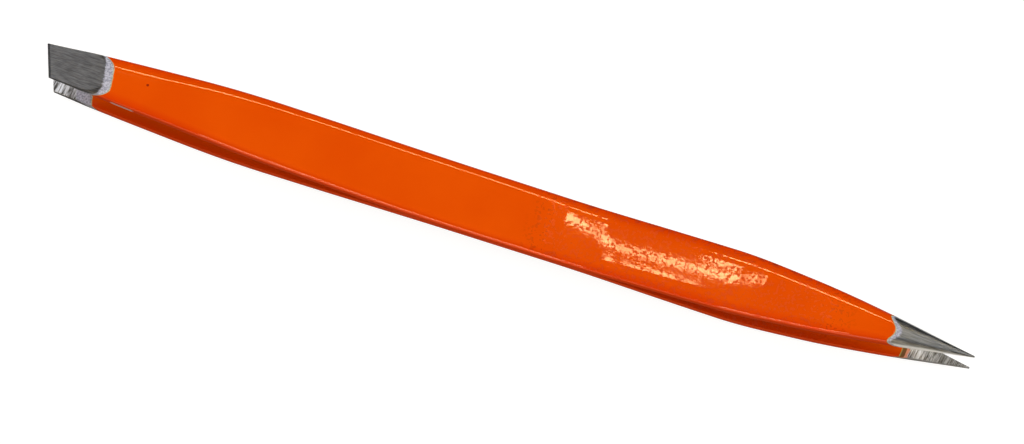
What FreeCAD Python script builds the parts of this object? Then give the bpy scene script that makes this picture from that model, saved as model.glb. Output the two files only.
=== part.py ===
import FreeCAD, Part
import math
import os

# Double-ended tweezers: two bowed spring-steel blades, welded face to face at the
# middle. One end is a slanted flat jaw, the other a needle point.
# Millimetres. X runs from the slanted jaw to the point, Y across the blades, and Z is
# square to their faces. The tool lies on its lower blade, and the origin is at the
# middle of its footprint.

# Overall
length = 95.0
blade_thickness = 1.2
middle_thickness = 0.95

# Plan outline of a blade: full widths, and distances from the end they are nearer to
jaw_tip_width = 3.1
jaw_slant = 21.5
jaw_root_width = 4.8
jaw_root_from_tip = 11.5
arm_width = 6.05
arm_from_tip = 23.5
belly_width = 6.56
belly_from_tip = 39.0
waist_width = 6.3
waist_from_point = 37.0
shoulder_width = 6.1
shoulder_from_point = 25.0
taper_width = 4.98
taper_from_point = 17.1
needle_root_width = 3.0
needle_root_from_point = 9.0
point_width = 0.16

# Bow of the blades: where the inner faces leave each other, and how far each stands
# off the middle plane at rest
jaw_side_weld_end = 9.0
jaw_bend_from_tip = 16.5
jaw_bend_height = 2.15
jaw_tip_height = 2.3
jaw_spring_radius = 120.0
jaw_bend_radius = 70.0
point_side_weld_end = 8.0
point_bend_from_point = 21.5
point_bend_height = 1.55
point_tip_height = 2.28
point_spring_radius = 70.0
point_bend_radius = 90.0

# Ground ends
jaw_grind_length = 6.0
jaw_tip_thickness = 0.42
jaw_edge_bevel = 0.22
jaw_edge_bevel_angle = 50.0
jaw_land_length = 2.2
jaw_land_angle = 4.0
point_grind_length = 9.1
point_grind_radius = 60.0
point_tip_thickness = 0.3
point_land_length = 6.0
point_land_angle = 1.2

# Rounding of the outer long edges: how far it reaches in from the side, and down
arm_round_width = 1.0
middle_round_width = 0.62
jaw_round_width = 0.8
round_drop = 0.36
jaw_round_drop = 0.2
needle_round_share = 0.9
needle_drop_share = 0.72

# How far the lofted blank stands past the faces that are cut on it
face_stock = 0.02
end_stock = 1.0
section_spacing = 3.0

V = FreeCAD.Vector
jaw_x = -length / 2
point_x = length / 2
spread = 2 * belly_width
y_axis = V(0, 1, 0)
z_axis = V(0, 0, 1)


def curve_through(points):
    """A smooth function through (x, value) points, with no overshoot between them."""
    xs = [x for x, _ in points]
    values = [value for _, value in points]
    rises = [(b - a) / (q - p) for a, b, p, q in zip(values, values[1:], xs, xs[1:])]
    slopes = [rises[0]]
    for before, after in zip(rises, rises[1:]):
        level = before * after <= 0
        slopes.append(0.0 if level else 2 * before * after / (before + after))
    slopes.append(rises[-1])

    def value_at(x):
        last = len(xs) - 2
        i = max([0] + [k for k in range(last + 1) if xs[k] <= x])
        span = xs[i + 1] - xs[i]
        s = (x - xs[i]) / span
        if s < 0:
            return values[0] + slopes[0] * (x - xs[0])
        if s > 1:
            return values[-1] + slopes[-1] * (x - xs[-1])
        rest = 1 - s
        ends = values[i] * rest * rest * (1 + 2 * s) + values[i + 1] * s * s * (3 - 2 * s)
        return ends + span * s * rest * (slopes[i] * rest - slopes[i + 1] * s)

    return value_at


class SidePath:
    """A line seen from the side: straight runs joined by tangent arcs.

    Each corner is (x, z, radius), and radius 0 keeps it sharp."""

    def __init__(self, corners):
        self.corners = corners
        self.pieces = []
        start = self.point(corners[0])
        for before, here, after in zip(corners, corners[1:], corners[2:]):
            a, p, b = self.point(before), self.point(here), self.point(after)
            back = (a - p).normalize()
            ahead = (b - p).normalize()
            turn = math.pi - back.getAngle(ahead)
            reach = here[2] * math.tan(turn / 2)
            self.pieces.append((start, p + back * reach, None))
            if reach > 0:
                inward = (back + ahead).normalize()
                centre = p + inward * (here[2] / math.cos(turn / 2))
                self.pieces.append((p + back * reach, p + ahead * reach, centre))
            start = p + ahead * reach
        self.pieces.append((start, self.point(corners[-1]), None))

    @staticmethod
    def point(corner):
        return V(corner[0], 0, corner[1])

    def height(self, x):
        """How high the line is at x, its first and last runs drawn on past their ends."""
        inside = [p for p in self.pieces if p[0].x <= x <= p[1].x]
        beyond = self.pieces[0] if x < self.pieces[0][0].x else self.pieces[-1]
        a, b, centre = inside[0] if inside else beyond
        if centre is None:
            return a.z + (b.z - a.z) * (x - a.x) / (b.x - a.x)
        side = 1 if a.z > centre.z else -1
        radius = (a - centre).Length
        return centre.z + side * math.sqrt(radius * radius - (x - centre.x) ** 2)

    def edges(self, first_x, last_x):
        """The line's edges from first_x to last_x."""
        made = []
        for number, (a, b, centre) in enumerate(self.pieces):
            if number == 0:
                a = V(first_x, 0, self.height(first_x))
            if number == len(self.pieces) - 1:
                b = V(last_x, 0, self.height(last_x))
            if centre is None:
                made.append(Part.makeLine(a, b))
                continue
            middle = (a + b) / 2 - centre
            through = centre + middle.normalize() * (a - centre).Length
            made.append(Part.Arc(a, through, b).toShape())
        return made


# The inner face: flat where the blades are welded, then two bowed arms
inner = SidePath([
    (jaw_x, jaw_tip_height, 0),
    (jaw_x + jaw_bend_from_tip, jaw_bend_height, jaw_bend_radius),
    (-jaw_side_weld_end, 0, jaw_spring_radius),
    (point_side_weld_end, 0, point_spring_radius),
    (point_x - point_bend_from_point, point_bend_height, point_bend_radius),
    (point_x, point_tip_height, 0),
])

# The outer face lies one thickness out. It thins to the welded middle and to the point,
# and at the jaw a flat is ground across it.
point_grind_x = point_x - point_grind_length
outer_corners = [
    (jaw_x + jaw_bend_from_tip, jaw_bend_height + blade_thickness, jaw_bend_radius),
    (-jaw_side_weld_end, middle_thickness, jaw_spring_radius),
    (point_side_weld_end, middle_thickness, point_spring_radius),
    (point_x - point_bend_from_point, point_bend_height + blade_thickness, point_bend_radius),
    (point_grind_x, inner.height(point_grind_x) + blade_thickness, point_grind_radius),
    (point_x, point_tip_height + point_tip_thickness, 0),
]
unground = SidePath([(jaw_x, jaw_tip_height + blade_thickness, 0)] + outer_corners)
jaw_grind_x = jaw_x + jaw_grind_length
half_height = unground.height(jaw_grind_x)
outer = SidePath([
    (jaw_x, jaw_tip_height + jaw_tip_thickness, 0),
    (jaw_grind_x, half_height, 0),
] + outer_corners)

half_width = curve_through([
    (jaw_x, jaw_tip_width / 2),
    (jaw_x + jaw_root_from_tip, jaw_root_width / 2),
    (jaw_x + arm_from_tip, arm_width / 2),
    (jaw_x + belly_from_tip, belly_width / 2),
    (point_x - waist_from_point, waist_width / 2),
    (point_x - shoulder_from_point, shoulder_width / 2),
    (point_x - taper_from_point, taper_width / 2),
    (point_x - needle_root_from_point, needle_root_width / 2),
    (point_x, point_width / 2),
])

round_width = curve_through([
    (jaw_x, jaw_round_width),
    (jaw_x + jaw_bend_from_tip, arm_round_width),
    (-jaw_side_weld_end, middle_round_width),
    (point_side_weld_end, middle_round_width),
    (point_x - point_bend_from_point, arm_round_width),
    (point_grind_x, arm_round_width),
    (point_x, needle_round_share * point_width / 2),
])

round_depth = curve_through([
    (jaw_x, jaw_round_drop),
    (jaw_x + jaw_bend_from_tip, round_drop),
    (point_grind_x, round_drop),
    (point_x, needle_drop_share * point_tip_thickness),
])


def quarter_ellipse(side_point, top_point):
    """A quarter ellipse from upright at the side to level at the top."""
    curve = Part.BezierCurve()
    curve.setPoles([side_point, V(side_point.x, side_point.y, top_point.z), top_point])
    curve.setWeight(2, math.sqrt(0.5))
    return curve.toShape()


def section(x):
    """The blank's cross-section: upright sides, rounded outer corners, stock inside."""
    side = half_width(x)
    top = unground.height(x) + face_stock
    reach = min(round_width(x), needle_round_share * side)
    drop = min(round_depth(x), needle_drop_share * blade_thickness)
    low = inner.height(x) - blade_thickness
    left = [V(x, -side, low), V(x, -side, top - drop), V(x, reach - side, top)]
    right = [V(x, -p.y, p.z) for p in left]
    return Part.Wire([
        Part.makeLine(left[0], left[1]),
        quarter_ellipse(left[1], left[2]),
        Part.makeLine(left[2], right[2]),
        quarter_ellipse(right[1], right[2]),
        Part.makeLine(right[1], right[0]),
        Part.makeLine(right[0], left[0]),
    ])


def blank():
    """The blade's body before its faces are ground, lofted from end to end."""
    count = round(length / section_spacing)
    step = length / count
    sections = [section(jaw_x + i * step) for i in range(-1, count + 1)]
    return Part.makeLoft(sections, True, False)


def side_block():
    """The blade's side view, as a block wider than the blank."""
    start, end = jaw_x - end_stock, point_x + end_stock
    below = inner.edges(start, end)
    above = outer.edges(start, end)
    corners = [V(x, 0, path.height(x)) for x in (start, end) for path in (inner, outer)]
    closing = [Part.makeLine(corners[2], corners[3]), Part.makeLine(corners[1], corners[0])]
    outline = Part.Wire(below + closing[:1] + above[::-1] + closing[1:])
    return Part.Face(outline).extrude(y_axis * spread).translated(y_axis * (-spread / 2))


def cutter(corner, along, out):
    """A block that fills all that lies past corner on the side that out points to,
    with its near face holding the direction along."""
    across = along.cross(out).normalize()
    square = across.cross(along).normalize()
    if square.dot(out) < 0:
        square = square * -1
    base = corner - (along + across) * spread
    ring = [base, base + along * 2 * spread, base + (along + across) * 2 * spread,
            base + across * 2 * spread, base]
    return Part.Face(Part.makePolygon(ring)).extrude(square * spread)


def slant_cutters():
    """The slanted end of the jaw, and the bevel ground along its outer edge."""
    slant = math.radians(jaw_slant)
    short_x = jaw_x + jaw_tip_width * math.tan(slant)
    long_corner = V(jaw_x, jaw_tip_width / 2, outer.height(jaw_x))
    short_corner = V(short_x, -jaw_tip_width / 2, outer.height(short_x))
    out = V(-math.cos(slant), -math.sin(slant), 0)
    lean = math.radians(jaw_edge_bevel_angle)
    edge = (long_corner - short_corner).normalize()
    bevel_out = out * math.cos(lean) + z_axis * math.sin(lean)
    return [
        cutter(long_corner, V(edge.x, edge.y, 0).normalize(), out),
        cutter(long_corner - out * jaw_edge_bevel, edge, bevel_out),
    ]


def land_cutter(tip_x, tip_height, land_length, land_angle):
    """The wedge ground off the inner face at a tip, so that the two lands meet flat
    when the arms are squeezed together."""
    ahead = math.copysign(1, tip_x)
    heel_x = tip_x - ahead * land_length
    heel = V(heel_x, 0, inner.height(heel_x))
    rise = math.tan(math.atan2(tip_height - heel.z, land_length) + math.radians(land_angle))
    far = heel + V(ahead, 0, rise) * 2 * land_length
    below = z_axis * blade_thickness
    wedge = Part.Face(Part.makePolygon([heel, far, far - below, heel - below, heel]))
    return wedge.extrude(y_axis * spread).translated(y_axis * (-spread / 2))


def upper_blade():
    tools = slant_cutters()
    tools.append(land_cutter(jaw_x, jaw_tip_height, jaw_land_length, jaw_land_angle))
    tools.append(land_cutter(point_x, point_tip_height, point_land_length, point_land_angle))
    blade = blank().common(side_block())
    for tool in tools:
        blade = blade.cut(tool)
    return blade.Solids[0]


upper = upper_blade()
lower = upper.mirror(V(0, 0, 0), z_axis)
lift = z_axis * half_height
pieces = {
    "upper_blade": upper.translated(lift),
    "lower_blade": lower.translated(lift),
}

os.makedirs("parts", exist_ok=True)
for name, shape in pieces.items():
    shape.exportStep(f"parts/{name}.step")
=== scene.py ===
import math

import bmesh
import bpy
import numpy as np
from mathutils import Matrix, Vector


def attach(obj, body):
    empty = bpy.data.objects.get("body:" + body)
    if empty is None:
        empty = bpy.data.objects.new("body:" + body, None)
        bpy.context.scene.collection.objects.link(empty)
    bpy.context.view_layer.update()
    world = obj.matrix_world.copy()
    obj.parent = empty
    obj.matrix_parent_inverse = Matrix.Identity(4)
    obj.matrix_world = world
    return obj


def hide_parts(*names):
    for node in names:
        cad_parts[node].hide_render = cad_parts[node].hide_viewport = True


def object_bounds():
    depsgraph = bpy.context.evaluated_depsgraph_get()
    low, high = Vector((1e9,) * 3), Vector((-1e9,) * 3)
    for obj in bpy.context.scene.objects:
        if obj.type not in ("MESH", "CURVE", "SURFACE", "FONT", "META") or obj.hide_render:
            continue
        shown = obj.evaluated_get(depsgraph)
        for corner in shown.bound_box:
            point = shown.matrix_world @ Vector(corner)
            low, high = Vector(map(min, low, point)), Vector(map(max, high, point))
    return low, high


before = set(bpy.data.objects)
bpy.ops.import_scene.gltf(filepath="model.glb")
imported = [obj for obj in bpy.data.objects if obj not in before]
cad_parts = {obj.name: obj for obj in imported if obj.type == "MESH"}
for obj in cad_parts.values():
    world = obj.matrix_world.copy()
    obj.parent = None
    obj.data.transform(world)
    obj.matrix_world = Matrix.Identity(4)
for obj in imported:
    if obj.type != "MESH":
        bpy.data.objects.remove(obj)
cad_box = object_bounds()
scene = bpy.context.scene

# The upper blade: a strip of spring steel, stamped to its outline, bowed, and ground to a
# slanted flat jaw and to a needle point. It is primed grey, lacquered orange to the start of
# both ground ends, and spot-welded to its twin at the middle. Its sizes are in millimetres.
MM = 0.001

jaw_x, point_x = (round(corner[0] / MM, 3) for corner in cad_box)
blade_thickness = 1.2
middle_thickness = 0.95
jaw_tip_thickness = 0.42
point_tip_thickness = 0.3
jaw_tip_width = 3.1
jaw_slant = math.radians(21.5)
jaw_edge_bevel = 0.22
jaw_edge_bevel_angle = math.radians(50)
jaw_grind_end = -41.5
jaw_bare_end = -40.95
jaw_land_start = -45.3
jaw_land_angle = math.radians(4)
point_grind_start = 38.4
point_grind_radius = 60
point_land_start = 41.5
point_land_angle = math.radians(1.2)
inner_edge_radius = 0.05

# The bow of the inner face, as half the gap between the blades: at both tips, and at each bend
# with its place along the blade and its radius
jaw_half_gap = 2.3
point_half_gap = 2.28
jaw_bend = (-31, 2.15, 70)
weld_jaw_side = (-9, 0, 120)
weld_point_side = (8, 0, 70)
point_bend = (26, 1.55, 90)

# Along the blade: half its width, how far the shoulder reaches in from the side, and the radius
# of the rolled edge
half_widths = [(jaw_x, 1.58), (-36, 2.46), (-24, 3.10), (-8.5, 3.28), (10.5, 3.22), (22.5, 3.13),
               (30.4, 2.57), (38.5, 1.57), (point_x, 0.08)]
shoulder_reaches = [(jaw_x, 0.82), (-38, 1.28), (-28, 0.985), (-18, 0.88), (-5, 0.88),
                    (11, 1.28), (22, 1.40), (30, 1.37), (38.4, 1.02), (point_x, 0.072)]
roll_radii = [(jaw_x, 0.16), (-42, 0.2), (-36, 0.36), (32, 0.36), (40, 0.7), (point_x, 0.05)]
roll_start = math.radians(15)
roll_end = math.radians(68)
side_bulge = 0.07


def curve_through(points):
    """A smooth function through (x, value) points, with no overshoot between them."""
    xs = [x for x, _ in points]
    values = [value for _, value in points]
    rises = [(b - a) / (q - p) for a, b, p, q in zip(values, values[1:], xs, xs[1:])]
    slopes = [rises[0]]
    for before, after in zip(rises, rises[1:]):
        level = before * after <= 0
        slopes.append(0.0 if level else 2 * before * after / (before + after))
    slopes.append(rises[-1])

    def value_at(x):
        i = max([0] + [k for k in range(len(xs) - 1) if xs[k] <= x])
        span = xs[i + 1] - xs[i]
        s = (x - xs[i]) / span
        rest = 1 - s
        ends = values[i] * rest * rest * (1 + 2 * s) + values[i + 1] * s * s * (3 - 2 * s)
        return ends + span * s * rest * (slopes[i] * rest - slopes[i + 1] * s)

    return value_at


def bowed_line(corners):
    """Height along x of straight runs joined by tangent arcs. Each corner is (x, z, radius)."""
    runs = []
    start = corners[0][:2]
    for before, here, after in zip(corners, corners[1:], corners[2:]):
        slope_in = math.atan2(here[1] - before[1], here[0] - before[0])
        slope_out = math.atan2(after[1] - here[1], after[0] - here[0])
        side = math.copysign(1, slope_out - slope_in)
        reach = here[2] * math.tan(abs(slope_out - slope_in) / 2)
        a = (here[0] - reach * math.cos(slope_in), here[1] - reach * math.sin(slope_in))
        b = (here[0] + reach * math.cos(slope_out), here[1] + reach * math.sin(slope_out))
        runs.append((start, a, None))
        if reach > 0:
            centre = (a[0] - side * here[2] * math.sin(slope_in),
                      a[1] + side * here[2] * math.cos(slope_in))
            runs.append((a, b, (centre, here[2], side)))
        start = b
    runs.append((start, corners[-1][:2], None))

    def height(x):
        inside = [run for run in runs if run[0][0] <= x <= run[1][0]]
        a, b, arc = inside[0] if inside else runs[-1]
        if arc is None:
            return a[1] + (b[1] - a[1]) * (x - a[0]) / (b[0] - a[0])
        centre, radius, side = arc
        return centre[1] - side * math.sqrt(radius ** 2 - (x - centre[0]) ** 2)

    return height


def outer_bend(inner_bend, thickness):
    """The bend of the outer face over a bend of the inner one."""
    x, height, radius = inner_bend
    return (x, height + thickness, radius)


unworn_inner = bowed_line([(jaw_x, jaw_half_gap, 0), jaw_bend, weld_jaw_side, weld_point_side,
                           point_bend, (point_x, point_half_gap, 0)])
outer_corners = [
    outer_bend(jaw_bend, blade_thickness),
    outer_bend(weld_jaw_side, middle_thickness),
    outer_bend(weld_point_side, middle_thickness),
    outer_bend(point_bend, blade_thickness),
    (point_grind_start, unworn_inner(point_grind_start) + blade_thickness, point_grind_radius),
    (point_x, point_half_gap + point_tip_thickness, 0),
]
blank_outer = bowed_line([(jaw_x, jaw_half_gap + blade_thickness, 0)] + outer_corners)
half_height = blank_outer(jaw_grind_end)
ground_outer = bowed_line([(jaw_x, jaw_half_gap + jaw_tip_thickness, 0),
                           (jaw_bare_end, blank_outer(jaw_bare_end), 0)] + outer_corners)
half_width = curve_through(half_widths)
shoulder_reach = curve_through(shoulder_reaches)
roll_radius = curve_through(roll_radii)


def inner_line(x):
    """The inner face, with the two lands ground on it so that they meet flat when squeezed."""
    height = unworn_inner(x)
    lands = ((jaw_x, jaw_land_start, jaw_land_angle), (point_x, point_land_start, point_land_angle))
    for tip, heel, angle in lands:
        span = abs(tip - heel)
        into = (x - heel) / (tip - heel)
        if into > 0:
            rise = math.atan2(unworn_inner(tip) - unworn_inner(heel), span) + angle
            height = unworn_inner(heel) + into * span * math.tan(rise)
    return height


def strand(name, points, values, closed):
    """A line of points joined by edges, with one float attribute for each named value."""
    mesh = bpy.data.meshes.new(name)
    count = len(points)
    edges = [(i, (i + 1) % count) for i in range(count if closed else count - 1)]
    mesh.from_pydata(points, edges, [])
    for key in values[0]:
        mesh.attributes.new(key, "FLOAT", "POINT").data.foreach_set(
            "value", [value[key] for value in values])
    made = bpy.data.objects.new(name, mesh)
    scene.collection.objects.link(made)
    return made


def stations():
    """Where the blade's sections stand: close together at the ground ends."""
    belly_start = -38.5
    belly_end = 33.0
    belly_step = 0.5
    end_step = 0.1
    places = []
    for start, end, step in ((jaw_x, belly_start, end_step), (belly_start, belly_end, belly_step),
                             (belly_end, point_x, end_step)):
        count = round((end - start) / step)
        places += [start + (end - start) * i / count for i in range(count)]
    return places + [point_x]


def station_values(x):
    """The sizes of the blade's section at x. Where the tips grow thin and narrow, each form is
    held to a share of the thickness or of the half width."""
    side = half_width(x)
    thickness = ground_outer(x) - inner_line(x)
    roll = min(roll_radius(x), 0.5 * side, 0.6 * thickness)
    bulge = min(side_bulge, 0.12 * thickness, 0.12 * side)
    roll_width = roll * (math.sin(roll_end) - math.sin(roll_start))
    reach = min(shoulder_reach(x), 0.97 * side) - bulge - roll_width
    fall = 0.5 * reach * math.tan(roll_start)
    wall_top = blank_outer(x) - fall - roll * (math.cos(roll_start) - math.cos(roll_end))
    return {
        "along": x,
        "side": side,
        "bulge": bulge,
        "roll": roll,
        "reach": reach,
        "fall": fall,
        "edge": min(inner_edge_radius, 0.25 * thickness, 0.25 * side),
        "inner": inner_line(x),
        "blank": blank_outer(x),
        "ground": ground_outer(x),
        "wall_top": min(wall_top, ground_outer(x)),
    }


def section_points():
    """Half of the blade's section, from the middle of its outer face over the shoulder, the
    rolled edge and the bulged wall to the middle of its inner face, and its mirror image. Each
    point says what share of each of the station's sizes it lies out, in, down or up."""
    keys = ("wide", "back", "turn", "swell", "corner", "drop", "sink", "outside", "up", "rise")
    face_steps = 8
    shoulder_steps = 8
    roll_steps = 10
    wall_shares = (0.85, 0.7, 0.5, 0.3, 0.15, 0)
    corner_steps = 4
    inner_steps = 7
    across = math.sin(roll_start) - math.sin(roll_end)
    half = [(k / face_steps, -k / face_steps, k / face_steps * across, -k / face_steps,
             0, 0, 0, 1, 0, 0) for k in range(face_steps + 1)]
    for i in range(1, shoulder_steps + 1):
        t = i / shoulder_steps
        half.append((1, t - 1, across, -1, 0, t * t, 0, 1, 0, 0))
    for i in range(1, roll_steps + 1):
        angle = roll_start + (roll_end - roll_start) * i / roll_steps
        half.append((1, 0, math.sin(angle) - math.sin(roll_end), -1, 0, 1,
                     math.cos(roll_start) - math.cos(angle), 1, 0, 0))
    for s in wall_shares:
        half.append((1, 0, 0, -(2 * s - 1) ** 2, 0, 0, 0, 0, s, 1 - s))
    for i in range(1, corner_steps + 1):
        turn = math.pi / 2 * i / corner_steps
        half.append((1, 0, 0, -1, math.cos(turn) - 1, 0, 0, 0, 0, 1 - math.sin(turn)))
    for k in range(inner_steps - 1, -1, -1):
        share = k / inner_steps
        half.append((share, 0, 0, -share, -share, 0, 0, 0, 0, 0))
    mirrored = [tuple(-share for share in p[:5]) + p[5:] for p in half[-2:0:-1]]
    return [dict(zip(keys, p)) for p in half + mirrored]


def put(tree, kind, settings=None, inputs=None):
    """One node in a tree, with its settings, and each input either linked or given a value."""
    made = tree.nodes.new(kind)
    for name, value in (settings or {}).items():
        setattr(made, name, value)
    for key, value in (inputs or {}).items():
        if isinstance(value, bpy.types.NodeSocket):
            tree.links.new(value, made.inputs[key])
        else:
            made.inputs[key].default_value = value
    return made


def reckon(tree, operation, *values):
    """The result of one Math node."""
    return put(tree, "ShaderNodeMath", {"operation": operation}, dict(enumerate(values))).outputs[0]


def new_tree(name, kind, inputs, outputs):
    """A node tree with named sockets, and its group input and output nodes."""
    tree = bpy.data.node_groups.new(name, kind)
    for label, sort, value in inputs:
        socket = tree.interface.new_socket(label, in_out="INPUT", socket_type="NodeSocket" + sort)
        if value is not None:
            socket.default_value = value
    for label, sort in outputs:
        tree.interface.new_socket(label, in_out="OUTPUT", socket_type="NodeSocket" + sort)
    return tree, tree.nodes.new("NodeGroupInput").outputs, tree.nodes.new("NodeGroupOutput")


def blade_tree():
    """Sweeps the section along the blade, then puts each point at its real width and height."""
    tree, given, result = new_tree(
        "blade_from_sections", "GeometryNodeTree",
        [("Stations", "Geometry", None), ("Section", "Object", None),
         ("Middle Height", "Float", half_height * MM), ("Side", "Float", 1.0),
         ("Size Of A Millimetre", "Float", MM), ("Finish", "Material", None)],
        [("Blade", "Geometry")])

    def named(name):
        return put(tree, "GeometryNodeInputNamedAttribute", {"data_type": "FLOAT"},
                   {"Name": name}).outputs[0]

    def total(*pairs):
        value = 0.0
        for a, b in pairs:
            value = reckon(tree, "MULTIPLY_ADD", a, b, value)
        return value

    spine = put(tree, "GeometryNodeMeshToCurve", None, {"Mesh": given["Stations"]})
    section = put(tree, "GeometryNodeObjectInfo", None, {"Object": given["Section"]})
    ring = put(tree, "GeometryNodeMeshToCurve", None, {"Mesh": section.outputs["Geometry"]})
    swept = put(tree, "GeometryNodeCurveToMesh", None,
                {"Curve": spine.outputs[0], "Profile Curve": ring.outputs[0], "Fill Caps": True})
    y = total((named("wide"), named("side")), (named("back"), named("reach")),
              (named("turn"), named("roll")), (named("swell"), named("bulge")),
              (named("corner"), named("edge")))
    below = total((named("drop"), named("fall")), (named("sink"), named("roll")))
    shoulder = reckon(tree, "SUBTRACT", named("blank"), below)
    skin = reckon(tree, "MINIMUM", shoulder, named("ground"))
    wall_height = reckon(tree, "SUBTRACT", named("wall_top"), named("inner"))
    wall = reckon(tree, "ADD", named("inner"),
                  total((wall_height, named("up")), (named("rise"), named("edge"))))
    height = put(tree, "ShaderNodeMix", {"data_type": "FLOAT"},
                 {"Factor": named("outside"), "A": wall, "B": skin}).outputs[0]
    unit = given["Size Of A Millimetre"]
    up = reckon(tree, "MULTIPLY", height, given["Side"])
    place = put(tree, "ShaderNodeCombineXYZ", None, {
        "X": reckon(tree, "MULTIPLY", named("along"), unit),
        "Y": reckon(tree, "MULTIPLY", y, unit),
        "Z": reckon(tree, "MULTIPLY_ADD", up, unit, given["Middle Height"])})
    placed = put(tree, "GeometryNodeSetPosition", None,
                 {"Geometry": swept.outputs[0], "Position": place.outputs[0]})
    smooth = put(tree, "GeometryNodeSetShadeSmooth", None, {"Geometry": placed.outputs[0]})
    real = put(tree, "GeometryNodeRealizeInstances", None, {"Geometry": smooth.outputs[0]})
    done = put(tree, "GeometryNodeSetMaterial", None,
               {"Geometry": real.outputs[0], "Material": given["Finish"]})
    tree.links.new(done.outputs[0], result.inputs["Blade"])
    return tree


def baked(name, source, tree, values):
    """The tree's result on source as a plain mesh of its own."""
    modifier = source.modifiers.new(tree.name, "NODES")
    modifier.node_group = tree
    identifiers = {item.name: item.identifier for item in tree.interface.items_tree
                   if item.in_out == "INPUT"}
    for label, value in values.items():
        modifier[identifiers[label]] = value
    graph = bpy.context.evaluated_depsgraph_get()
    mesh = bpy.data.meshes.new_from_object(source.evaluated_get(graph), depsgraph=graph,
                                           preserve_all_data_layers=True)
    mesh.name = name
    source.modifiers.remove(modifier)
    made = bpy.data.objects.new(name, mesh)
    scene.collection.objects.link(made)
    return made


def cut_slanted_end(blade, side):
    """Grinds the slanted end of the jaw, and the bevel along its outer edge."""
    on_plane = 1e-8
    same_point = 2e-7
    across = math.tan(jaw_slant) * jaw_tip_width
    long_corner = Vector((jaw_x, jaw_tip_width / 2, ground_outer(jaw_x)))
    short_corner = Vector((jaw_x + across, -jaw_tip_width / 2, ground_outer(jaw_x + across)))
    out = Vector((-math.cos(jaw_slant), -math.sin(jaw_slant), 0))
    bevel_out = out * math.cos(jaw_edge_bevel_angle)
    bevel_out.z = math.sin(jaw_edge_bevel_angle)
    edge = (long_corner - short_corner).normalized()
    bevel_normal = (bevel_out - edge * bevel_out.dot(edge)).normalized()
    shell = bmesh.new()
    shell.from_mesh(blade.data)
    cuts = ((long_corner, out), (long_corner - out * jaw_edge_bevel, bevel_normal))
    for corner, normal in cuts:
        spot = Vector((corner.x * MM, corner.y * MM, (half_height + side * corner.z) * MM))
        facing = Vector((normal.x, normal.y, side * normal.z))
        everything = shell.verts[:] + shell.edges[:] + shell.faces[:]
        found = bmesh.ops.bisect_plane(shell, geom=everything, dist=on_plane, plane_co=spot,
                                       plane_no=facing, clear_outer=True)
        rim = [item for item in found["geom_cut"] if isinstance(item, bmesh.types.BMEdge)]
        bmesh.ops.contextual_create(shell, geom=rim)
    bmesh.ops.remove_doubles(shell, verts=shell.verts[:], dist=same_point)
    bmesh.ops.recalc_face_normals(shell, faces=shell.faces[:])
    shell.to_mesh(blade.data)
    shell.free()


# Where each coat ends: its place along the blade at mid width, and how far that line leans
# and bows over the width. The first two are the outer and inner face at the jaw, the others
# at the point. At the jaw the lines run nearly square and bow only beside the edges.
lacquer_ends = [(-40.12, -0.33, -1.15), (-42.45, -0.15, 0.25),
                (39.5, -0.2, -1.5), (40.75, 0.0, -0.1)]
primer_ends = [(-41.0, -0.33, -0.35), (-44.15, -0.2, 0.3),
               (40.15, -0.2, -2.0), (41.5, 0.0, -0.1)]
jaw_bow_power = 5
point_bow_power = 2

# Where a painted highlight lies as a pale streak on the upper blade's near side wall: its middle
# and half length along x, and its middle and half height as shares of the blade's thickness
streak_middle = -38.45
streak_half_length = 1.15
streak_height = 0.42
streak_half_height = 0.2


def mark_coats(blade, side):
    """Notes at each point how far it lies past the end of each coat, how near it is to the
    blade's long edges and side walls, how far out it lies between the inner and the outer face,
    and whether it is on the streak of painted highlight."""
    mesh = blade.data
    count = len(mesh.vertices)
    places = np.empty(count * 3)
    mesh.vertices.foreach_get("co", places)
    x, y, z = (places.reshape(-1, 3) / MM).T
    height = side * (z - half_height)
    grid_points = 1901
    grid = np.linspace(jaw_x, point_x, grid_points)
    width = np.interp(x, grid, [half_width(g) for g in grid])
    low = np.interp(x, grid, [inner_line(g) for g in grid])
    high = np.interp(x, grid, [ground_outer(g) for g in grid])
    reach = np.interp(x, grid, [min(shoulder_reach(g), 0.9 * half_width(g)) for g in grid])
    across = np.clip(y / width, -1, 1)
    outside = np.clip((height - low) / (high - low), 0, 1)
    layers = {}
    for name, ends in (("past_lacquer", lacquer_ends), ("past_primer", primer_ends)):
        lines = []
        for centre, lean, bow in ends:
            power = jaw_bow_power if centre < 0 else point_bow_power
            lines.append(centre + lean * across + bow * np.abs(across) ** power)
        past_jaw = lines[1] + (lines[0] - lines[1]) * outside - x
        past_point = x - (lines[3] + (lines[2] - lines[3]) * outside)
        layers[name] = np.maximum(past_jaw, past_point)
    layers["edge_nearness"] = np.clip(1 - (width - np.abs(y)) / reach, 0, 1)
    layers["outside"] = outside
    # On the narrow needle this distance is stretched, so that its wall doesn't cover its face
    needle_width = 0.9
    layers["from_side"] = (width - np.abs(y)) * np.maximum(1, needle_width / width)
    # Where the streak of painted highlight lies on the upper blade's near wall
    painted_streak = 1 - np.abs(x - streak_middle) / streak_half_length
    painted_streak = np.minimum(painted_streak, 1 - np.abs(outside - streak_height) / streak_half_height)
    near_wall = y < -0.5 * width
    layers["painted_streak"] = np.where((side > 0) & near_wall, painted_streak, -1)
    for name, values in layers.items():
        if name in mesh.attributes:
            mesh.attributes.remove(mesh.attributes[name])
        mesh.attributes.new(name, "FLOAT", "POINT").data.foreach_set("value", values)


def paint(red, green, blue):
    """A colour as seen on screen, from 0 to 255, as the numbers that a node takes."""
    return tuple(((c / 255 + 0.055) / 1.055) ** 2.4 if c > 10 else c / 255 / 12.92
                 for c in (red, green, blue)) + (1.0,)


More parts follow.
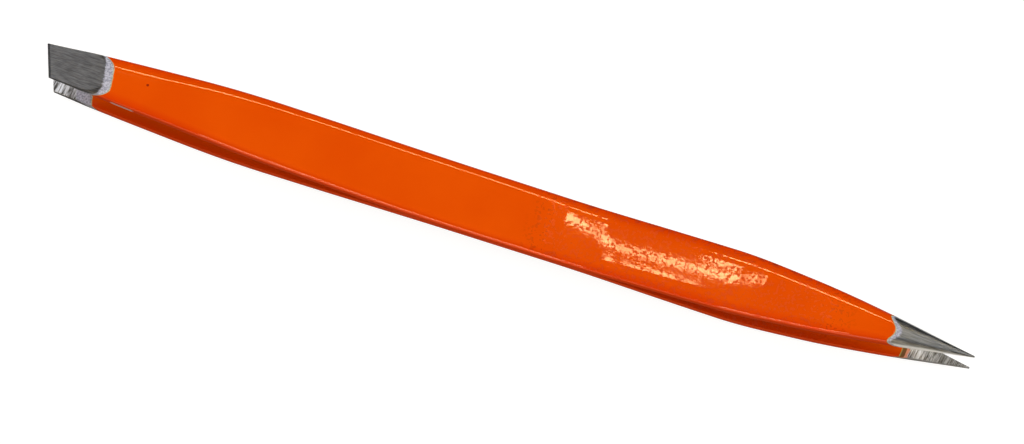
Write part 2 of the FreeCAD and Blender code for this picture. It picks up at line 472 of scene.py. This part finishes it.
def ragged_edge_group():
    """Where a coat ends: a soft, slightly ragged line at distance 0."""
    tree, given, result = new_tree(
        "ragged_coat_edge", "ShaderNodeTree",
        [("Vector", "Vector", None), ("Distance", "Float", 0.0), ("Raggedness", "Float", 0.08),
         ("Grain", "Float", 3500.0), ("Softness", "Float", 0.04)],
        [("Bare", "Float")])
    grain = put(tree, "ShaderNodeTexNoise", None,
                {"Vector": given["Vector"], "Scale": given["Grain"], "Detail": 3.0,
                 "Roughness": 0.65})
    swing = reckon(tree, "MULTIPLY_ADD", grain.outputs["Fac"], 2.0, -1.0)
    moved = reckon(tree, "MULTIPLY_ADD", swing, given["Raggedness"], given["Distance"])
    soft = put(tree, "ShaderNodeMapRange", {"interpolation_type": "SMOOTHSTEP"},
               {"Value": moved, "From Min": reckon(tree, "MULTIPLY", given["Softness"], -1.0),
                "From Max": given["Softness"]})
    tree.links.new(soft.outputs[0], result.inputs["Bare"])
    return tree


def ground_lines_group():
    """Fine parallel lines left by a grinding wheel, in a chosen direction."""
    tree, given, result = new_tree(
        "ground_lines", "ShaderNodeTree",
        [("Vector", "Vector", None), ("Angle", "Float", 0.0), ("Along", "Float", 60.0),
         ("Across", "Float", 9000.0)],
        [("Lines", "Float"), ("Streaks", "Float")])
    turned = put(tree, "ShaderNodeVectorRotate", {"rotation_type": "Z_AXIS"},
                 {"Vector": given["Vector"], "Angle": given["Angle"]})
    fine = put(tree, "ShaderNodeCombineXYZ", None,
               {"X": given["Along"], "Y": given["Across"], "Z": given["Across"]})
    stretched = put(tree, "ShaderNodeVectorMath", {"operation": "MULTIPLY"},
                    {0: turned.outputs[0], 1: fine.outputs[0]})
    lines = put(tree, "ShaderNodeTexNoise", None,
                {"Vector": stretched.outputs[0], "Scale": 1.0, "Detail": 2.0, "Roughness": 0.6})
    streaks = put(tree, "ShaderNodeTexNoise", None,
                  {"Vector": stretched.outputs[0], "Scale": 0.22, "Detail": 2.0,
                   "Roughness": 0.5})
    tree.links.new(lines.outputs["Fac"], result.inputs["Lines"])
    tree.links.new(streaks.outputs["Fac"], result.inputs["Streaks"])
    return tree


def orange_peel_group():
    """The skin of a sprayed lacquer: fine dimples, slow waves and scattered small pits."""
    tree, given, result = new_tree(
        "orange_peel", "ShaderNodeTree",
        [("Vector", "Vector", None), ("Dimples", "Float", 3000.0), ("Waves", "Float", 420.0),
         ("Wave Share", "Float", 0.5), ("Pits", "Float", 3300.0)],
        [("Height", "Float"), ("Pit", "Float")])
    dimples = put(tree, "ShaderNodeTexNoise", None,
                  {"Vector": given["Vector"], "Scale": given["Dimples"], "Detail": 1.0,
                   "Roughness": 0.45})
    waves = put(tree, "ShaderNodeTexNoise", None,
                {"Vector": given["Vector"], "Scale": given["Waves"], "Detail": 1.0,
                 "Roughness": 0.5})
    height = reckon(tree, "MULTIPLY_ADD", waves.outputs["Fac"], given["Wave Share"],
                    dimples.outputs["Fac"])
    pits = put(tree, "ShaderNodeTexNoise", None,
               {"Vector": given["Vector"], "Scale": given["Pits"], "Detail": 1.0,
                "Roughness": 0.5})
    pit = put(tree, "ShaderNodeMapRange", None,
              {"Value": pits.outputs["Fac"], "From Min": 0.555, "From Max": 0.585})
    tree.links.new(height, result.inputs["Height"])
    tree.links.new(pit.outputs[0], result.inputs["Pit"])
    return tree


ragged_coat_edge = ragged_edge_group()
ground_lines = ground_lines_group()
orange_peel = orange_peel_group()


def noted(tree, name):
    """What mark_coats noted on the blade under this name."""
    return put(tree, "ShaderNodeAttribute", {"attribute_name": name}).outputs["Fac"]


def ramp(tree, value, low, high, to_low=0.0, to_high=1.0):
    """The value carried from one range to another, and held at that range's ends."""
    return put(tree, "ShaderNodeMapRange", None, {
        "Value": value, "From Min": low, "From Max": high, "To Min": to_low,
        "To Max": to_high}).outputs[0]


def blend(tree, kind, share, a, b):
    """From a to b by this share, for two colours (RGBA) or two numbers (FLOAT)."""
    ending = {"RGBA": "Color", "FLOAT": "Float"}[kind]
    made = put(tree, "ShaderNodeMix", {"data_type": kind})
    sockets = {socket.identifier: socket for socket in made.inputs}
    for name, value in (("Factor_Float", share), ("A_" + ending, a), ("B_" + ending, b)):
        if isinstance(value, bpy.types.NodeSocket):
            tree.links.new(value, sockets[name])
        else:
            sockets[name].default_value = value
    return [socket for socket in made.outputs if socket.identifier == "Result_" + ending][0]


def coat_gone(tree, spot, note, raggedness, grain, softness):
    """How far the coat is gone whose end is noted under this name."""
    return put(tree, "ShaderNodeGroup", {"node_tree": ragged_coat_edge}, {
        "Vector": spot, "Distance": noted(tree, note), "Raggedness": raggedness,
        "Grain": grain, "Softness": softness}).outputs["Bare"]


pale_orange = paint(227, 82, 1)
deep_orange = paint(223, 77, 0)
# painted shade: the redder oranges for the rolled edges, here and for the pits, stand in for the
# shade they turn into
shaded_edge_orange = paint(214, 56, 0)
pit_orange = paint(222, 76, 1)
shaded_edge_pit_orange = paint(211, 54, 0)
# painted light: a lighter orange for the side walls, which lie in shade
lit_wall_orange = paint(232, 78, 2)
dust_brown = paint(140, 32, 10)
# painted highlight: a pale pink streak in place of a highlight on the upper blade's near wall
streak_highlight_pink = paint(226, 186, 182)
dust_radius = 0.16
dust_core_radius = 0.09


def lacquer_colour(tree, spot, pit, wall, dust):
    """Orange, with a slow drift in its depth and small pits. Painted shade makes it redder on the
    rolled edges, painted light makes it lighter on the side walls, and a painted highlight lies
    as a pale streak low on the upper blade's near wall. Where a place for it is given, a grain
    of dust is caught in it."""
    drift = put(tree, "ShaderNodeTexNoise", None,
                {"Vector": spot, "Scale": 160.0, "Detail": 2.0}).outputs["Fac"]
    edge = ramp(tree, noted(tree, "edge_nearness"), 0.2, 0.95)
    face = blend(tree, "RGBA", ramp(tree, drift, 0.35, 0.65), pale_orange, deep_orange)
    # Painted shade: redder towards the rolled edges
    face = blend(tree, "RGBA", edge, face, shaded_edge_orange)
    pitted = blend(tree, "RGBA", edge, pit_orange, shaded_edge_pit_orange)
    lacquer = blend(tree, "RGBA", pit, face, pitted)
    if dust is not None:
        away = put(tree, "ShaderNodeVectorMath", {"operation": "DISTANCE"},
                   {0: spot, 1: tuple(c * MM for c in dust)}).outputs["Value"]
        grain = ramp(tree, away, dust_radius * MM, dust_core_radius * MM)
        lacquer = blend(tree, "RGBA", grain, lacquer, dust_brown)
    # Painted light: lighter on the side walls
    lacquer = blend(tree, "RGBA", wall, lacquer, lit_wall_orange)
    # Painted highlight: a pale streak low on the upper blade's near wall
    streak_share = coat_gone(tree, spot, "painted_streak", raggedness=0.5, grain=3000.0, softness=0.2)
    return blend(tree, "RGBA", streak_share, lacquer, streak_highlight_pink)


dark_primer = paint(140, 143, 165)
light_primer = paint(186, 189, 208)
thin_brown = paint(116, 78, 34)
thin_pink = paint(226, 150, 120)
feathered_green = paint(176, 174, 84)


def primer_colour(tree, specks, inside_point):
    """Lavender grey with fine specks, green where the lacquer feathers out over it. Inside the
    point it is thin: a brown band, then a pink one."""
    primer = blend(tree, "RGBA", ramp(tree, specks, 0.4, 0.6), dark_primer, light_primer)
    pink = ramp(tree, noted(tree, "past_primer"), -0.3, -0.27)
    thin = blend(tree, "RGBA", pink, thin_brown, thin_pink)
    primer = blend(tree, "RGBA", inside_point, primer, thin)
    feather = ramp(tree, noted(tree, "past_lacquer"), 0.0, 0.13)
    return blend(tree, "RGBA", feather, feathered_green, primer)


# painted shade and light: the same ground steel, darker at the jaw and lighter at the point, for
# how each reflects
shaded_jaw_steels = (paint(80, 80, 82), paint(112, 112, 114))
lit_point_steels = (paint(104, 108, 113), paint(152, 156, 163))
land_steels = (paint(82, 80, 78), paint(236, 240, 250))
tip_land_steel = paint(66, 67, 62)
land_dulls_over = (42.5 * MM, 44.5 * MM)
tip_dullness = 0.6


def steel_colour(tree, outer_lines, inner_lines, outside, at_point, lengthwise):
    """Steel ground lengthwise outside, painted darker at the jaw than at the point as painted shade
    and light for how each reflects, and brightly across on the inner lands, which are dull again
    over the last of the point."""
    tone = reckon(tree, "MULTIPLY_ADD", outer_lines["Streaks"], 0.25, outer_lines["Lines"])
    tone = ramp(tree, tone, 0.42, 0.84)
    jaw = blend(tree, "RGBA", tone, *shaded_jaw_steels)
    point = blend(tree, "RGBA", tone, *lit_point_steels)
    outer = blend(tree, "RGBA", at_point, jaw, point)
    sparkle = reckon(tree, "MULTIPLY_ADD", inner_lines["Streaks"], 0.7, inner_lines["Lines"])
    land = blend(tree, "RGBA", ramp(tree, sparkle, 0.7, 1.0), *land_steels)
    dull = ramp(tree, lengthwise, *land_dulls_over, 0.0, tip_dullness)
    land = blend(tree, "RGBA", dull, land, tip_land_steel)
    return blend(tree, "RGBA", outside, land, outer)


# How far in from the side the wall's finish comes in, with its painted light, and where along
# the blade the pits of handling come in and end
wall_comes_in = (0.19, 0.09)
pits_come_in = (2 * MM, 7 * MM)
pits_end = (36 * MM, 30 * MM)

# Roughness and metallic gloss of each finish, and the depth of its relief in metres
gloss_roughness = 0.02
pit_roughness = 0.5
wall_roughness = 0.8
primer_roughness = 0.6
steel_roughness = (0.3, 0.42)
pit_metal = 0.58
wall_metal = 0.75
inside_metal_share = 0.4
skin_depth = 3.2e-7
lacquer_depth = 1.5e-5


def lacquered_steel(name, land_line_angle, painted_point_wall, dust=None):
    """Orange lacquer over grey primer over ground steel, each bare past the end of the last.
    The land's grinding lines run at this angle. The colour given after it is painted, without
    metallic gloss, on the side walls of the point in place of their steel: a painted reflection
    on the upper blade and painted shade on the lower."""
    material = bpy.data.materials.new(name)
    material.use_nodes = True
    tree = material.node_tree
    tree.nodes.clear()
    spot = put(tree, "ShaderNodeTexCoord").outputs["Object"]

    # Where on the blade the surface lies
    lengthwise = put(tree, "ShaderNodeSeparateXYZ", None, {0: spot}).outputs["X"]
    at_point = ramp(tree, lengthwise, -MM, MM)
    outside = ramp(tree, noted(tree, "outside"), 0.1, 0.2)
    inside_point = reckon(tree, "MULTIPLY", at_point, reckon(tree, "SUBTRACT", 1.0, outside))
    wall = ramp(tree, noted(tree, "from_side"), *wall_comes_in)
    point_wall = reckon(tree, "MULTIPLY", wall, at_point)
    no_lacquer = coat_gone(tree, spot, "past_lacquer", raggedness=0.07, grain=2600.0,
                           softness=0.035)
    no_primer = coat_gone(tree, spot, "past_primer", raggedness=0.28, grain=5200.0, softness=0.12)

    # The skin of each coat and of the steel. The lacquer is pitted only where it is handled.
    peel = put(tree, "ShaderNodeGroup", {"node_tree": orange_peel}, {"Vector": spot}).outputs
    handled = reckon(tree, "MULTIPLY", ramp(tree, lengthwise, *pits_come_in),
                     ramp(tree, lengthwise, *pits_end))
    pit = reckon(tree, "MULTIPLY", peel["Pit"], handled)
    specks = put(tree, "ShaderNodeTexNoise", None,
                 {"Vector": spot, "Scale": 6000.0, "Detail": 2.0}).outputs["Fac"]
    outer_lines = put(tree, "ShaderNodeGroup", {"node_tree": ground_lines},
                      {"Vector": spot, "Angle": 0.03}).outputs
    inner_lines = put(tree, "ShaderNodeGroup", {"node_tree": ground_lines},
                      {"Vector": spot, "Angle": land_line_angle, "Along": 900.0,
                       "Across": 8200.0}).outputs
    lines = blend(tree, "FLOAT", outside, inner_lines["Lines"], outer_lines["Lines"])

    lacquer = lacquer_colour(tree, spot, pit, wall, dust)
    primer = primer_colour(tree, specks, inside_point)
    steel = steel_colour(tree, outer_lines, inner_lines, outside, at_point, lengthwise)
    # Painted reflection and shade: the point's side walls take a painted colour in place of their
    # steel
    steel = blend(tree, "RGBA", point_wall, steel, painted_point_wall)
    under_lacquer = blend(tree, "RGBA", no_primer, primer, steel)
    colour = blend(tree, "RGBA", no_lacquer, lacquer, under_lacquer)

    ground = ramp(tree, lines, 0.3, 0.7, *steel_roughness)
    bare = blend(tree, "FLOAT", no_primer, primer_roughness, ground)
    face = ramp(tree, pit, 0.0, 1.0, gloss_roughness, pit_roughness)
    lacquered = blend(tree, "FLOAT", wall, face, wall_roughness)
    roughness = blend(tree, "FLOAT", no_lacquer, lacquered, bare)

    # The painted point walls lose their metallic gloss, so that their painted colour shows as it is
    bare = reckon(tree, "MULTIPLY", no_primer, ramp(tree, point_wall, 0.0, 1.0, 1.0, 0.0))
    face = ramp(tree, pit, 0.0, 1.0, 0.0, pit_metal)
    lacquered = blend(tree, "FLOAT", wall, face, wall_metal)
    metallic = blend(tree, "FLOAT", no_lacquer, lacquered, bare)
    metallic = reckon(tree, "MULTIPLY", metallic,
                      ramp(tree, outside, 0.0, 1.0, inside_metal_share, 1.0))

    grit = blend(tree, "FLOAT", no_primer, specks, lines)
    relief = blend(tree, "FLOAT", no_lacquer, peel["Height"], grit)
    skin = put(tree, "ShaderNodeBump", None,
               {"Strength": 1.0, "Distance": skin_depth, "Height": relief}).outputs[0]
    lacquer_step = put(tree, "ShaderNodeBump", {"invert": True},
                       {"Strength": 1.0, "Distance": lacquer_depth, "Height": no_lacquer,
                        "Normal": skin}).outputs[0]

    shader = put(tree, "ShaderNodeBsdfPrincipled", None, {
        "Base Color": colour, "Roughness": roughness, "Metallic": metallic,
        "Normal": lacquer_step, "Specular IOR Level": 0.4})
    put(tree, "ShaderNodeOutputMaterial", None, {"Surface": shader.outputs[0]})
    return material


# What the tree sweeps: only the order of the section's points counts, because the tree then
# moves each point to its place
spine = strand("stations", [(x * MM, 0, 0) for x in stations()],
               [station_values(x) for x in stations()], False)
ring_values = section_points()
section = strand("section", [(value["wide"] * MM, value["outside"] * MM + value["up"] * MM, 0)
                             for value in ring_values], ring_values, True)
sweep = blade_tree()
sharp_edge_angle = math.radians(28)


def finished_blade(name, side, material):
    """A whole blade with its finish: the upper one for side 1, the lower one for side -1."""
    blade = baked(name, spine, sweep, {"Section": section, "Side": side, "Finish": material})
    cut_slanted_end(blade, side)
    mark_coats(blade, side)
    blade.data.set_sharp_from_angle(angle=sharp_edge_angle)
    return blade


upper_land_line_angle = 1.45
# painted reflection: the upper blade's ground point walls are painted near white for the bright
# reflection they show
upper_wall_painted_reflection = paint(236, 240, 248)
dust_place = (-36.68, 0.44, half_height + 3.4)
upper_finish = lacquered_steel("upper_finish", upper_land_line_angle, upper_wall_painted_reflection,
                               dust_place)
upper = finished_blade("upper_blade_finished", 1.0, upper_finish)
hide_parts("upper_blade")
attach(upper, "root")

# The lower blade: the upper one's twin, turned over, and the one that the tool lies on. It is
# stamped, bowed, ground and lacquered the same way, but the side walls of its point are
# painted a darker grey, as painted shade.
lower_land_line_angle = 1.7
# painted shade: the lower blade's ground point walls are painted a darker grey
lower_wall_painted_shade = paint(140, 142, 146)
lower_finish = lacquered_steel("lower_finish", lower_land_line_angle, lower_wall_painted_shade)
lower = finished_blade("lower_blade_finished", -1.0, lower_finish)
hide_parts("lower_blade")
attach(lower, "root")

for scaffold in (spine, section):
    bpy.data.objects.remove(scaffold, do_unlink=True)

# The floor: a wide plain sheet, white to the camera, which keeps a faint shadow of the
# tweezers. Reflections see it too, but dimmer, because the lacquered side walls turn pink in a
# white one.
floor_size = 6.0
floor_white = 0.92
floor_reflected_share = 0.12
floor_grey = (0.18, 0.18, 0.18, 1)
floor_mesh = bpy.data.meshes.new("floor")
corner = floor_size / 2
floor_mesh.from_pydata([(-corner, -corner, 0), (corner, -corner, 0), (corner, corner, 0),
                        (-corner, corner, 0)], [], [(0, 1, 2, 3)])
floor = bpy.data.objects.new("floor", floor_mesh)
scene.collection.objects.link(floor)
floor_material = bpy.data.materials.new("white_floor")
floor_material.use_nodes = True
sheet_tree = floor_material.node_tree
sheet_tree.nodes.clear()
rays = put(sheet_tree, "ShaderNodeLightPath").outputs
mirrored = reckon(sheet_tree, "MAXIMUM", rays["Is Glossy Ray"], rays["Is Transmission Ray"])
seen = reckon(sheet_tree, "MAXIMUM", rays["Is Camera Ray"],
              reckon(sheet_tree, "MULTIPLY", mirrored, floor_reflected_share))
matt = put(sheet_tree, "ShaderNodeBsdfDiffuse", None, {"Color": floor_grey})
glow = put(sheet_tree, "ShaderNodeEmission", None,
           {"Strength": reckon(sheet_tree, "MULTIPLY", seen, floor_white)})
both = put(sheet_tree, "ShaderNodeAddShader", None, {0: matt.outputs[0], 1: glow.outputs[0]})
put(sheet_tree, "ShaderNodeOutputMaterial", None, {"Surface": both.outputs[0]})
floor_mesh.materials.append(floor_material)

# The light: a pale horizon that fades to a dim ceiling and to a dark far side, a broad soft
# box off each end, a strip on the far side that draws the long thin highlight, boxes on the
# near side, and thin tubes overhead whose glare breaks up on the lacquer.
horizon_strength = 0.35
ceiling_strength = 0.03
far_side_share = 0.1
fade_end = 0.5
world = bpy.data.worlds.new("studio")
scene.world = world
world.use_nodes = True
sky = world.node_tree
sky.nodes.clear()
direction = put(sky, "ShaderNodeTexCoord").outputs["Generated"]
upward = put(sky, "ShaderNodeSeparateXYZ", None, {0: direction}).outputs["Z"]
fade = put(sky, "ShaderNodeMapRange", {"interpolation_type": "SMOOTHSTEP"},
           {"Value": upward, "From Min": 0.0, "From Max": fade_end, "To Min": horizon_strength,
            "To Max": ceiling_strength})
farward = put(sky, "ShaderNodeSeparateXYZ", None, {0: direction}).outputs["Y"]
far_fade = put(sky, "ShaderNodeMapRange", {"interpolation_type": "SMOOTHSTEP"},
               {"Value": farward, "From Min": 0.0, "From Max": fade_end, "To Min": 1.0,
                "To Max": far_side_share})
dome = put(sky, "ShaderNodeBackground", None, {
    "Color": (1, 1, 1, 1),
    "Strength": reckon(sky, "MULTIPLY", fade.outputs[0], far_fade.outputs[0])})
put(sky, "ShaderNodeOutputWorld", None, {"Surface": dome.outputs[0]})

middle = Vector((0, 0, half_height * MM))


def area_lamp(name, place, away, along, size, radiance, colour):
    """A rectangular lamp at a place. It shines against the direction away, and its first side
    runs along."""
    data = bpy.data.lights.new(name, "AREA")
    data.shape = "RECTANGLE"
    data.size, data.size_y = size
    data.energy = radiance * math.pi * size[0] * size[1]
    data.color = colour
    made = bpy.data.objects.new(name, data)
    scene.collection.objects.link(made)
    first = (along - away * along.dot(away)).normalized()
    turned = Matrix((first, away.cross(first), away)).transposed().to_4x4()
    made.matrix_world = Matrix.Translation(place) @ turned
    return made


def box(name, lean, distance, size, radiance, colour=(1, 1, 1)):
    """A soft box that shines at the middle of the tool. From there, its direction leans from
    straight up by these degrees toward +X and +Y."""
    x, y = (math.tan(math.radians(angle)) for angle in lean)
    away = Vector((x, y, 1)).normalized()
    area_lamp(name, middle + away * distance, away, Vector((1, 0, 0)), size, radiance, colour)


warm = (1, 0.75, 0.34)
box("end_box_jaw", lean=(-50, 18), distance=0.8, size=(0.5, 0.6), radiance=4.15)
box("end_box_point", lean=(50, 18), distance=0.8, size=(0.5, 0.6), radiance=4.15)
box("far_strip", lean=(-0.5, 22.5), distance=0.5, size=(0.168, 0.018), radiance=26.0, colour=warm)
box("near_box", lean=(-0.4, -37), distance=0.5, size=(0.135, 0.12), radiance=11.5,
    colour=(1, 0.8, 0.5))
box("near_fill", lean=(0, -72), distance=0.6, size=(0.5, 0.2), radiance=2.3,
    colour=(1, 0.85, 0.6))
box("point_box", lean=(12.5, 13.4), distance=0.5, size=(0.05, 0.05), radiance=7.0)

tube_height = 500
tube_radiance = 29.0


def tube(name, start, end, width, aim_x, half_spread):
    """A thin warm tube between two places over the tool, in millimetres and shaded to a narrow
    spread, so that only the stretch that it is aimed at mirrors it. Its power is lowered with
    its spread, which leaves it as bright."""
    a, b = (Vector((x, y, tube_height)) * MM + middle for x, y in (start, end))
    centre = (a + b) / 2
    away = (centre - middle - Vector((aim_x * MM, 0, 0))).normalized()
    made = area_lamp(name, centre, away, (b - a).normalized(), ((b - a).length, width * MM),
                     tube_radiance, warm)
    made.data.spread = 2 * half_spread
    made.data.energy *= 1 - half_spread / math.tan(half_spread)


narrow = math.radians(3.4)
middling = math.radians(4.2)
tube("tube_1", (-46, 123.5), (-58, 123.5), width=1.9, aim_x=6, half_spread=narrow)
tube("tube_2", (-58, 123.5), (-80, 123.5), width=1.9, aim_x=7.5, half_spread=narrow)
tube("tube_3", (-80, 123.5), (-118, 123.5), width=1.65, aim_x=13, half_spread=middling)
tube("tube_4", (-96, 119.8), (-114, 119.8), width=1.9, aim_x=17, half_spread=math.radians(1.1))
tube("tube_5", (-80, 126.2), (-97, 126.2), width=1.2, aim_x=22, half_spread=middling)
tube("far_tube", (-95, 207), (-131, 207), width=19.5, aim_x=-37, half_spread=math.radians(3.6))

# The camera looks from the near side and nearly from above, rolled a little, with a long lens.
camera_data = bpy.data.cameras.new("camera")
camera_data.lens = 156.06
camera_data.sensor_width = 36.0
camera = bpy.data.objects.new("camera", camera_data)
scene.collection.objects.link(camera)
scene.camera = camera
azimuth = math.radians(17.657)
elevation = math.radians(75.939)
roll = math.radians(0.616)
camera_distance = 0.4317
target = Vector((0.972 * MM, -0.655 * MM, half_height * MM))
back = Vector((math.cos(elevation) * math.sin(azimuth), -math.cos(elevation) * math.cos(azimuth),
               math.sin(elevation)))
level_right = Vector((math.cos(azimuth), math.sin(azimuth), 0))
level_up = back.cross(level_right)
right = level_right * math.cos(roll) + level_up * math.sin(roll)
up = back.cross(right)
camera.matrix_world = (Matrix.Translation(target + back * camera_distance)
                       @ Matrix((right, up, back)).transposed().to_4x4())

scene.view_settings.view_transform = "Standard"
